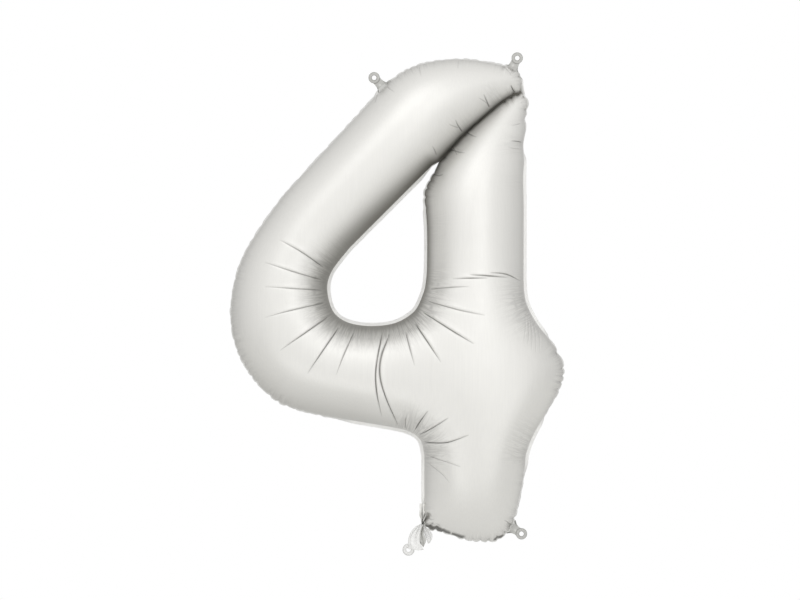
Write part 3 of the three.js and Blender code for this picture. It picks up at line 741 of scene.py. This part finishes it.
def seamPleatGroup():
    # fine pleats that run away from the seam, drawn from the distances stored on the film, as bumps and as
    # painted shade along each pleat line
    group = bpy.data.node_groups.new("seamPleats", "ShaderNodeTree")
    group.interface.new_socket("Height", in_out="OUTPUT", socket_type="NodeSocketFloat")
    group.interface.new_socket("Shade", in_out="OUTPUT", socket_type="NodeSocketFloat")
    nodes, links = group.nodes, group.links
    outputs = nodes.new("NodeGroupOutput")
    total = None
    for pitch, amount in seamPleat["lines"]:
        spot = nodes.new("ShaderNodeCombineXYZ")
        for name, size, axis in (("seamRun", pitch, "X"), ("seamGap", pitch * seamPleat["length"], "Y")):
            links.new(addMath(nodes, links, "DIVIDE", attributeMask(nodes, name), size), spot.inputs[axis])
        noise = setNode(nodes.new("ShaderNodeTexNoise"), Scale=1.0, Detail=0.0)
        links.new(spot.outputs["Vector"], noise.inputs["Vector"])
        away = addMath(nodes, links, "SUBTRACT", noise.outputs["Fac"], 0.5)
        away = addMath(nodes, links, "ABSOLUTE", away, 0)
        line = addMath(nodes, links, "MULTIPLY_ADD", away, -seamPleat["sharp"], 1.0)
        line = addMath(nodes, links, "MAXIMUM", line, 0.0)
        line = addMath(nodes, links, "MULTIPLY", line, amount)
        total = line if total is None else addMath(nodes, links, "MAXIMUM", total, line)
    # painted shade along the pleat lines
    shade = addMath(nodes, links, "MULTIPLY", total, attributeMask(nodes, "pleatShare"))
    for name, amount in (("Height", seamPleat["height"]), ("Shade", seamPleat["shade"])):
        links.new(addMath(nodes, links, "MULTIPLY", shade, amount), outputs.inputs[name])
    return group


filmSurface, seamPleats = filmSurfaceGroup(), seamPleatGroup()


def addFilmSurface(nodes, links, shader, waves, crinkle, roughness, spread):
    surface = nodes.new("ShaderNodeGroup")
    surface.node_tree = filmSurface
    setNode(surface, Waves=waves, Crinkle=crinkle)
    links.new(surface.outputs["Normal"], shader.inputs["Normal"])
    rough = nodes.new("ShaderNodeMapRange")
    setNode(rough, To_Min=roughness - spread, To_Max=roughness + spread)
    links.new(surface.outputs["Mottle"], rough.inputs["Value"])
    links.new(rough.outputs["Result"], shader.inputs["Roughness"])
    return surface


def mixByMask(nodes, links, mask, colorLow, colorHigh, kind="MIX"):
    mix = nodes.new("ShaderNodeMix")
    mix.data_type = "RGBA"
    mix.blend_type = kind
    for socket, value in (("A", colorLow), ("B", colorHigh), ("Factor", mask)):
        if isinstance(value, (tuple, float)):
            mix.inputs[socket].default_value = value
        else:
            links.new(value, mix.inputs[socket])
    return mix.outputs["Result"]


def foilMaterial(name):
    material, nodes, links = newMaterial(name)
    shader = setNode(nodes["Principled BSDF"], Specular_Tint=foilLook["edge"])
    surface = addFilmSurface(nodes, links, shader, foilLook["waves"], foilLook["crinkle"],
                             foilLook["roughness"], foilLook["spread"])
    pleats = nodes.new("ShaderNodeGroup")
    pleats.node_tree = seamPleats
    links.new(pleats.outputs["Height"], surface.inputs["Pleats"])
    # painted shade: darker between the limbs and under folds, along the crease bottoms and in the seam pleats
    tucked, creaseShadeMask = attributeMask(nodes, "paintedShade"), attributeMask(nodes, "creaseShadeLine")
    base = mixByMask(nodes, links, tucked, foilLook["color"], foilLook["tucked"])
    base = mixByMask(nodes, links, creaseShadeMask, base, foilLook["fold"])
    base = mixByMask(nodes, links, pleats.outputs["Shade"], base, foilLook["fold"])
    base = mixByMask(nodes, links, foilLook["streaks"], base, surface.outputs["Streaks"], "MULTIPLY")
    links.new(base, shader.inputs["Base Color"])
    # the film is blurrier down in the valleys
    deep = attributeMask(nodes, "valley")
    blur = addMath(nodes, links, "MULTIPLY", deep, foilLook["valleyBlur"])
    links.new(addMath(nodes, links, "ADD", shader.inputs["Roughness"].links[0].from_socket, blur),
              shader.inputs["Roughness"])
    # where shade is painted the film mirrors less, so the dark colour shows
    dark = addMath(nodes, links, "MAXIMUM", tucked, creaseShadeMask)
    metal = addMath(nodes, links, "MULTIPLY_ADD", dark, -foilLook["darkDull"], 1.0)
    soft = addMath(nodes, links, "MULTIPLY", deep, deep)
    soft = addMath(nodes, links, "MULTIPLY", soft, foilLook["valleySoft"])
    links.new(addMath(nodes, links, "SUBTRACT", metal, soft), shader.inputs["Metallic"])
    return material


def filmMaterial(name, look, mask, metallic, waves, crinkle, alpha=1.0):
    # look["color"] where the mask is 0, and its painted shade colour where the mask is 1
    material, nodes, links = newMaterial(name)
    shader = setNode(nodes["Principled BSDF"], Metallic=metallic)
    if alpha < 1:
        shader.inputs["Alpha"].default_value = alpha
    addFilmSurface(nodes, links, shader, waves, crinkle, look["roughness"], 0.06)
    base = mixByMask(nodes, links, attributeMask(nodes, mask), look["color"], look["shaded"])
    links.new(base, shader.inputs["Base Color"])
    return material


foil = foilMaterial("satinSilverFoil")
# the margin's painted shade, from the same mask as the foil's
seal = filmMaterial("heatSealedMargin", sealLook, "paintedShade", 0.1, 0.1, 0.2)
# the tab's painted shade and highlight, from its edge mask
tabFilm = filmMaterial("tabFilm", tabLook, "edge", 0.55, 0.2, 0.25)
# painted shade in the folds of the neck, tail and valve films
neckFilm = filmMaterial("gatheredNeckFilm", neckLook, "creaseAndShade", 0.5, 0.1, 0.1)
tailFilm = filmMaterial("clearTailFilm", tailLook, "creaseAndShade", 0.05, 0.1, 0.1, alpha=0.62)
mouthFilm = filmMaterial("valveMouthFilm", valveLook, "creaseAndShade", 0.7, 0.1, 0.1)
valveFilm = filmMaterial("innerValveFilm", tailLook, "creaseAndShade", 0.0, 0.2, 0.2)

for panel in (frontFoil, rearFoil):
    count = len(panel.data.vertices)
    for name, values in (("paintedShade", paintedShadeAmount), ("creaseShadeLine", paintedCreaseShade), ("seamRun", seamRun),
                         ("seamGap", seamGap), ("pleatShare", pleatShare), ("valley", valley)):
        giveAttribute(panel, name, np.resize(values, count))
    panel.data.materials.append(foil)
    panel.data.materials.append(seal)
for node in ("valve_front_film", "valve_inlet_film", "valve_rear_film"):
    inner = frame["nodes"][node]
    inner.data.materials.clear()
    inner.data.materials.append(valveFilm)

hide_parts("front_panel")
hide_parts("rear_panel")
for panel, slot in ((frontFoil, "front_foil"), (rearFoil, "rear_foil")):
    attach(panel, "balloon")
print("foil and film materials made")

# hang tabs: a ring of film with a flared root that runs in between the plies of the margin
tab = {
    "eyelet": 4.2, "rings": (5.0, 6.4, 8.2, 9.4, 10.0), "rootHalf": 15.0, "tucked": 8.0, "thick": 0.5,
    "rootCut": 0.62, "flare": (0.98, 1.06, 1.24, 1.55), "closer": (0.8, 0.7, 0.62, 0.5, 0.0),
    "rim": 0.16, "droop": (0.5, 0.35), "fill": 0.36, "rimDark": 0.5, "sideDark": 0.5, "highlightSpot": 0.4,
}
openings = {o["name"]: o["box_m"] for o in frame["record"]["physics"]["openings"]}
joints = {j["name"]: j for j in frame["record"]["behaviour"]["joints"]}


def startEdit(piece):
    bpy.ops.object.select_all(action="DESELECT")
    piece.select_set(True)
    bpy.context.view_layer.objects.active = piece
    bpy.ops.object.mode_set(mode="EDIT")


def selectVerts(piece, test):
    bpy.ops.mesh.select_mode(type="VERT")
    bpy.ops.mesh.select_all(action="DESELECT")
    bpy.ops.object.mode_set(mode="OBJECT")
    for v in piece.data.vertices:
        v.select = bool(test(v.co))
    bpy.ops.object.mode_set(mode="EDIT")


def extrudeTo(scale, centre):
    bpy.ops.mesh.extrude_region_move()
    bpy.ops.transform.resize(value=scale, center_override=centre)


def ringOfFilm(name, hole, rings):
    # a flat ring in mm round the origin, left in edit mode
    bpy.ops.object.select_all(action="DESELECT")
    bpy.ops.mesh.primitive_circle_add(vertices=56, radius=hole, fill_type="NOTHING")
    piece = bpy.context.object
    piece.name = name
    startEdit(piece)
    bpy.ops.mesh.select_all(action="SELECT")
    for small, large in zip((hole,) + rings, rings):
        extrudeTo((large / small, large / small, 1), (0, 0, 0))
    return piece


def pointOutwards(piece, angle):
    startEdit(piece)
    bpy.ops.mesh.select_all(action="SELECT")
    bpy.ops.mesh.normals_make_consistent(inside=False)
    bpy.ops.object.mode_set(mode="OBJECT")
    bpy.ops.object.shade_smooth_by_angle(angle=angle)


def hump(value, middle, half):
    # 1 at the middle, fading to both sides
    return math.exp(-((value - middle) / half) ** 2)


def clamp01(value):
    return max(0.0, min(1.0, value))


def makeTab(name, node, jointName, openingName, seed):
    root = np.array(joints[jointName]["pos_m"])
    low, high = (np.array(v) for v in openings[openingName])
    eyelet = (low + high) / 2
    outward = eyelet - root
    reach = float(np.linalg.norm(outward)) * 1000
    outward /= np.linalg.norm(outward)
    # drawn lying flat in mm, eyelet at the origin, root towards -y
    piece = ringOfFilm(name, tab["eyelet"], tab["rings"])
    radius, cutAt = tab["rings"][-1], tab["rootCut"]
    selectVerts(piece, lambda co: co.length > radius - 0.1 and co.y < -cutAt * radius)
    rootY = -reach - tab["tucked"]
    widths = tab["flare"] + (tab["rootHalf"] / (radius * math.sin(math.acos(cutAt))),)
    for previous, width, closer in zip((1.0,) + widths, widths, tab["closer"]):
        extrudeTo((width / previous, closer, 1), (0, rootY, 0))
    bpy.ops.mesh.select_all(action="SELECT")
    bpy.ops.mesh.subdivide(number_cuts=1)
    bpy.ops.mesh.normals_make_consistent(inside=False)
    bpy.ops.object.mode_set(mode="OBJECT")
    soft = np.random.default_rng(seed).uniform(-1, 1, 6)
    for v in piece.data.vertices:
        x, y = v.co.x, v.co.y
        rim = hump(math.hypot(x, y), 5.0, 0.8)  # the punched eyelet's pressed rim
        droop = (tab["droop"][0] * soft[0] * math.sin(x / 6 + soft[1] * 3)
                 + tab["droop"][1] * soft[2] * math.sin(y / 5 + soft[3] * 3))
        v.co.z = tab["rim"] * rim + droop * clamp01((y - rootY - tab["tucked"]) / 8)
    applyModifier(piece, "SOLIDIFY", thickness=tab["thick"], offset=0)
    applyModifier(piece, "BEVEL", width=0.1, segments=1, limit_method="ANGLE", angle_limit=0.9)
    # painted shade on the tab's rims and root sides, and a painted highlight spot near its root
    edge = []
    for v in piece.data.vertices:
        x, y = v.co.x, v.co.y
        rim = max(hump(math.hypot(x, y), 9.9, 0.6), hump(math.hypot(x, y), 4.5, 0.5))
        spot = hump(math.hypot(x - 1.5 * soft[4], y - rootY - tab["tucked"] - 2.2), 0, 2.0)
        side = hump(abs(x), 11, 3.0) * clamp01((-12 - y) / 4)
        dark = tab["fill"] + tab["rimDark"] * rim + tab["sideDark"] * side - tab["highlightSpot"] * spot
        edge.append(clamp01(dark))
    side = Vector((outward[2], 0, -outward[0]))
    up, front = Vector(outward), Vector((0, -1, 0))
    for v in piece.data.vertices:
        v.co = Vector(eyelet) + (side * v.co.x + up * v.co.y + front * v.co.z) / 1000
    giveAttribute(piece, "edge", edge)
    pointOutwards(piece, 0.7)
    piece.data.materials.append(tabFilm)
    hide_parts(node)
    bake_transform(piece)
    return piece


for name, corner, seed in (("topLeftHangTab", "top_left", 3), ("topRightHangTab", "top_right", 5),
                           ("bottomRightHangTab", "bottom_right", 8)):
    makeTab(name, corner + "_hang_tab", corner + "_tab_flex", corner + "_eyelet", seed)
print("hang tabs made")

# neck and tail: thin film, gathered at the pinch and fanning out below it
neckRoot = Vector(joints["neck_bend"]["pos_m"])
pinch = Vector(joints["tail_swing"]["pos_m"]) + Vector((-0.0016, 0, 0))
neck = {
    "above": 9.0, "turns": 0.5, "top": (2.4, -5.0), "middle": (2.0, -5.0),
    "width": (8.2, 8.6, 8.0, 6.8, 5.0, 3.0), "depth": (1.0, 2.2, 3.0, 3.2, 2.9, 2.4),
    "rows": 46, "columns": 72, "ripple": 0.34, "twist": 0.45, "shaded": 1.4, "pinchDark": 0.3,
    # each wave round the neck: how high, how many, how it spirals, where it starts
    "waves": ((0.5, 5, 2.2, 0), (0.32, 8, -1.4, 1), (0.2, 13, 1, 0)),
    # each fold painted as a line of shade: where it stands at the pinch, how it leans as it rises, half
    # width, how dark
    "darkFolds": ((-0.6, 0.02, 1.1, 0.85), (0.2, 0.42, 1.2, 0.9), (-2.6, -0.02, 0.6, 0.4)),
    "darkTop": 22, "darkFade": 6,
}
lobes = {
    # stations from the pinch down, in mm: x, y, z, and at each the half width, cup and turn
    "front": {
        "line": [(0, -0.8, 0.6), (-7.4, -2.2, -7), (-12.0, -4.5, -15), (-15.0, -6.6, -24.5),
                 (-15.2, -8.2, -35), (-13.0, -8.8, -44.5)],
        "half": (2.2, 6.6, 9.0, 10.4, 11.4, 14.4), "cup": (-0.3, -2.8, -4.6, -4.8, -3.8, -2.6),
        "turn": (-0.3, -0.25, -0.2, -0.15, -0.1, -0.05), "pleats": 2.6, "pleat": 1.5, "sag": 0.08,
        "flat": (0.033, 0.048), "area": 0.00105,
    },
    "rear": {
        "line": [(0.4, 1.4, -0.6), (2.8, 3.0, -6), (6.8, 4.6, -13), (10.6, 5.8, -20.5), (11.4, 6.2, -28),
                 (10.6, 6.4, -34.5)],
        "half": (1.8, 2.8, 5.4, 6.6, 4.8, 1.8), "cup": (0.3, 1.6, 2.6, 2.6, 1.8, 1.2),
        "turn": (0.4, 0.3, 0.2, 0.2, 0.1, 0.1), "pleats": 1.7, "pleat": 1.0, "sag": -0.1,
        "flat": (0.017, 0.038), "area": 0.0004,
    },
    "mouth": {
        "line": [(0, -0.2, 0.4), (-0.8, -1.2, -7), (-2.2, -1.6, -18), (-0.8, -1.8, -29), (0.6, -1.6, -40)],
        "half": (1.6, 2.4, 4.6, 6.8, 1.0), "cup": (0.4, 1.4, 2.0, 1.6, 0.2),
        "turn": (0.2, 0.12, 0.05, 0, 0), "pleats": 1.6, "pleat": 1.2, "sag": 0.0,
        "flat": (0.015, 0.044), "area": 0.0004,
    },
    "thick": 0.14,
}
tailRing = {
    "hole": 4.2, "rings": (5.2, 7.4, 9.6, 10.6), "thick": 0.35, "wave": (0.25, 0.2), "lean": 0.16,
    "fill": 0.22, "rimDark": 0.6, "holeDark": 0.35,
}


def alongStations(values, t):
    # smooth value between stations, t from 0 to 1
    place = t * (len(values) - 1)
    k = min(int(place), len(values) - 2)
    part = place - k
    pick = lambda i: np.array(values[min(max(i, 0), len(values) - 1)], float)
    a, b, c, d = pick(k - 1), pick(k), pick(k + 1), pick(k + 2)
    v0, v1 = (c - a) / 2, (d - b) / 2
    return hermite(b, c, v0, v1, part)


def gridPiece(name, points, closedAcross, material, thick):
    # points is a grid of rows along and columns across, in metres
    rows, columns = points.shape[:2]
    index = np.arange(rows * columns).reshape(rows, columns)
    across = columns if closedAcross else columns - 1
    quads = []
    for r in range(rows - 1):
        for c in range(across):
            d = (c + 1) % columns
            quads.append((index[r, c], index[r, d], index[r + 1, d], index[r + 1, c]))
    if closedAcross:
        quads += [tuple(index[0][::-1]), tuple(index[-1])]
    piece = linkedMesh(name, points.reshape(-1, 3), [tuple(int(i) for i in q) for q in quads])
    piece.data.materials.append(material)
    if thick:
        applyModifier(piece, "SOLIDIFY", thickness=thick / 1000, offset=0)
    pointOutwards(piece, 1.2)
    return piece


def makeNeck():
    rows, columns = neck["rows"], neck["columns"]
    points = np.zeros((rows, columns, 3))
    folds = np.zeros((rows, columns))
    top = neckRoot + Vector((*neck["top"], neck["above"])) / 1000
    bottom = pinch + Vector((0, 0, -0.001))
    for r in range(rows):
        t = r / (rows - 1)
        centre = top.lerp(bottom, t) + Vector((*neck["middle"], 0)) * t * (1 - t) * 0.002
        width = float(alongStations(neck["width"], t))
        depth = float(alongStations(neck["depth"], t))
        spin = neck["turns"] * 2 * math.pi * t * t
        turned = -spin * neck["twist"]
        for c in range(columns):
            angle = 2 * math.pi * c / columns
            fold = sum(high * math.cos(count * angle + spiral * spin + start)
                       for high, count, spiral, start in neck["waves"])
            ripple = 1 + neck["ripple"] * fold * min(1, 0.25 + 1.4 * t)
            across, away = math.cos(angle) * width * ripple, math.sin(angle) * depth * ripple
            x = across * math.cos(turned) - away * math.sin(turned)
            y = across * math.sin(turned) + away * math.cos(turned)
            points[r, c] = (centre.x + x / 1000, centre.y + y / 1000, centre.z)
            # painted shade in the waves' valleys and towards the pinch, and the painted fold lines
            folds[r, c] = (neck["shaded"] * max(0.0, -fold - 0.1) * min(1, 0.4 + t)
                           + neck["pinchDark"] * max(0.0, t - 0.85) / 0.15)
            rise, gap = (points[r, c][2] - pinch.z) * 1000, (points[r, c][0] - pinch.x) * 1000
            for foot, lean, half, dark in neck["darkFolds"]:
                fade = clamp01((neck["darkTop"] - rise) / neck["darkFade"])
                folds[r, c] += dark * hump(gap, foot + lean * rise, half) * fade
    piece = gridPiece("gatheredNeck", points, True, neckFilm, 0)
    giveAttribute(piece, "creaseAndShade", np.clip(folds.reshape(-1), 0, 1))
    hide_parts("neck_gather")
    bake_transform(piece)


def lobePoints(shape, rows=44, columns=48):
    points = np.zeros((rows, columns, 3))
    folds = np.zeros((rows, columns))
    for r in range(rows):
        t = r / (rows - 1)
        x, y, z = alongStations(shape["line"], t)
        half, cup, turned = (float(alongStations(shape[key], t)) for key in ("half", "cup", "turn"))
        gathered = (1 - t) ** 0.7
        for c in range(columns):
            u = 2 * c / (columns - 1) - 1
            pleat = math.cos(shape["pleats"] * math.pi * u + 1.7 * math.sin(3 * t + u))
            pleat = pleat * shape["pleat"] * (0.25 + 0.75 * gathered) * min(1, 5 * t + 0.15)
            away = cup * (1 - u * u) + pleat
            drop = shape["sag"] * u * half + 1.6 * (1 - u * u) * t
            px = x + u * half * math.cos(turned) - away * math.sin(turned)
            py = y + u * half * math.sin(turned) + away * math.cos(turned)
            points[r, c] = (pinch.x + px / 1000, pinch.y + py / 1000, pinch.z + (z - drop) / 1000)
            # painted shade in the pleat valleys, at the side edges and at the lower end
            valley = max(0.0, -pleat / shape["pleat"]) ** 2
            folds[r, c] = 0.95 * valley * (0.4 + 0.6 * gathered) + 0.45 * abs(u) ** 12 + 0.3 * t ** 20
    return points, folds


def makeLobe(name, key, node, body, material):
    points, folds = lobePoints(lobes[key])
    piece = gridPiece(name, points, False, material, lobes["thick"])
    giveAttribute(piece, "creaseAndShade", np.clip(np.resize(folds.reshape(-1), len(piece.data.vertices)), 0, 1))
    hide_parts(node)
    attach(piece, body)


def makeTailRing():
    # the eyelet ring at the tail's lower left corner, in the plane of the leaning front film
    low, high = (np.array(v) for v in openings["tail_eyelet"])
    centre = Vector((low + high) / 2)
    piece = ringOfFilm("tailEyeletRing", tailRing["hole"], tailRing["rings"])
    bpy.ops.mesh.select_all(action="SELECT")
    bpy.ops.mesh.subdivide(number_cuts=1)
    bpy.ops.object.mode_set(mode="OBJECT")
    for v in piece.data.vertices:
        v.co.z = tailRing["wave"][0] * math.sin(v.co.x / 4) + tailRing["wave"][1] * math.sin(v.co.y / 3 + 1)
    applyModifier(piece, "SOLIDIFY", thickness=tailRing["thick"], offset=0)
    # painted shade along the ring's outer rim and round its hole
    edge = []
    lean = tailRing["lean"]
    for v in piece.data.vertices:
        x, y, z = v.co
        out = math.hypot(x, y)
        edge.append(tailRing["fill"] + tailRing["rimDark"] * hump(out, 10.3, 0.9)
                    + tailRing["holeDark"] * hump(out, 4.6, 0.7))
        v.co = centre + Vector((x, -z * math.cos(lean) + y * math.sin(lean), y * math.cos(lean))) / 1000
    giveAttribute(piece, "creaseAndShade", edge)
    pointOutwards(piece, 0.7)
    piece.data.materials.append(tailFilm)
    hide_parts("tail_front_film")
    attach(piece, "tail")


makeNeck()
makeLobe("tailFrontFilm", "front", "tail_front_film", "tail", tailFilm)
makeLobe("tailRearFilm", "rear", "tail_rear_film", "tail_rear", tailFilm)
makeLobe("valveMouthFilm", "mouth", "valve_mouth_film", "tail", mouthFilm)
makeTailRing()
print("neck and tail made")

# stage, light and camera
studio = {
    "distance": 5.2, "frameWidth": 1.42, "centre": (-0.2081, -0.4295),
    "floorDrop": 0.9, "floorSize": 12.0,
    "sky": {"front": 1.0, "side": 0.77, "back": 0.6, "up": 0.16, "down": -0.16},
    # each light: its name, place, what it points at (the balloon's middle if None), size and power
    "lights": (
        ("keySoftbox", (-0.9, -2.4, 1.5), None, (1.5, 1.9), 4),
        ("frontStrip", (0.5, -3.0, 0.4), None, (0.8, 2.2), 2.5),
        ("lowFill", (0.99, -2.3, -1.55), (-0.3, 0, -0.2), (1.5, 1.4), 2.1),
        ("underFill", (-1.0, -2.2, -1.65), (-0.4, 0, -0.6), (1.6, 0.7), 1.8),
    ),
}


def addFloor():
    bpy.ops.object.select_all(action="DESELECT")
    low = cadBounds[0][2] - studio["floorDrop"]
    bpy.ops.mesh.primitive_plane_add(size=studio["floorSize"], location=(0, 0, low))
    floor = bpy.context.object
    floor.name = "studioFloor"
    material, nodes, links = newMaterial("paleFloor")
    setNode(nodes["Principled BSDF"], Base_Color=(0.88, 0.88, 0.87, 1), Roughness=0.9)
    floor.data.materials.append(material)


def addAreaLight(name, place, target, size, power):
    light = bpy.data.lights.new(name, "AREA")
    light.shape = "RECTANGLE"
    light.size, light.size_y = size
    light.energy = power
    lamp = bpy.data.objects.new(name, light)
    bpy.context.scene.collection.objects.link(lamp)
    lamp.location = place
    lamp.rotation_euler = (Vector(target) - Vector(place)).to_track_quat("-Z", "Y").to_euler()


def addWorld():
    # a white background; what the foil reflects is a studio that is brighter in front and above
    world = bpy.data.worlds.new("studio")
    bpy.context.scene.world = world
    world.use_nodes = True
    nodes, links = world.node_tree.nodes, world.node_tree.links
    sky = studio["sky"]
    place = nodes.new("ShaderNodeTexCoord")
    split = nodes.new("ShaderNodeSeparateXYZ")
    links.new(place.outputs["Generated"], split.inputs["Vector"])

    def towards(socket, strength):
        # strength where the film mirrors that side, 0 where it mirrors the other
        return addMath(nodes, links, "MULTIPLY", addMath(nodes, links, "MAXIMUM", socket, 0.0), strength)

    y, z = split.outputs["Y"], split.outputs["Z"]
    frontness = towards(addMath(nodes, links, "MULTIPLY", y, -1.0), sky["front"] - sky["side"])
    backness = towards(y, sky["back"] - sky["side"])
    upness = towards(z, sky["up"])
    downness = towards(addMath(nodes, links, "MULTIPLY", z, -1.0), sky["down"])
    level = addMath(nodes, links, "ADD", addMath(nodes, links, "ADD", frontness, backness),
                    addMath(nodes, links, "ADD", upness, downness))
    level = addMath(nodes, links, "ADD", level, sky["side"])
    reflected = nodes["Background"]
    reflected.inputs["Color"].default_value = (1.0, 0.995, 0.98, 1)
    links.new(level, reflected.inputs["Strength"])
    seen = nodes.new("ShaderNodeBackground")
    seen.inputs["Color"].default_value = (1, 1, 1, 1)
    mix = nodes.new("ShaderNodeMixShader")
    ray = nodes.new("ShaderNodeLightPath")
    links.new(ray.outputs["Is Camera Ray"], mix.inputs["Fac"])
    links.new(reflected.outputs["Background"], mix.inputs[1])
    links.new(seen.outputs["Background"], mix.inputs[2])
    links.new(mix.outputs["Shader"], nodes["World Output"].inputs["Surface"])


def addCamera():
    cameraData = bpy.data.cameras.new("camera")
    camera = bpy.data.objects.new("camera", cameraData)
    bpy.context.scene.collection.objects.link(camera)
    x, z = studio["centre"]
    camera.location = (x, -studio["distance"], z)
    camera.rotation_euler = (math.radians(90), 0, 0)
    cameraData.sensor_width = 36
    cameraData.lens = 36 * studio["distance"] / studio["frameWidth"]
    cameraData.clip_end = 50
    bpy.context.scene.camera = camera


addFloor()
addWorld()
middle = (studio["centre"][0], 0, studio["centre"][1])
for name, place, target, size, power in studio["lights"]:
    addAreaLight(name, place, target or middle, size, power)
addCamera()
bpy.context.scene.view_settings.view_transform = "Standard"
print("stage set")
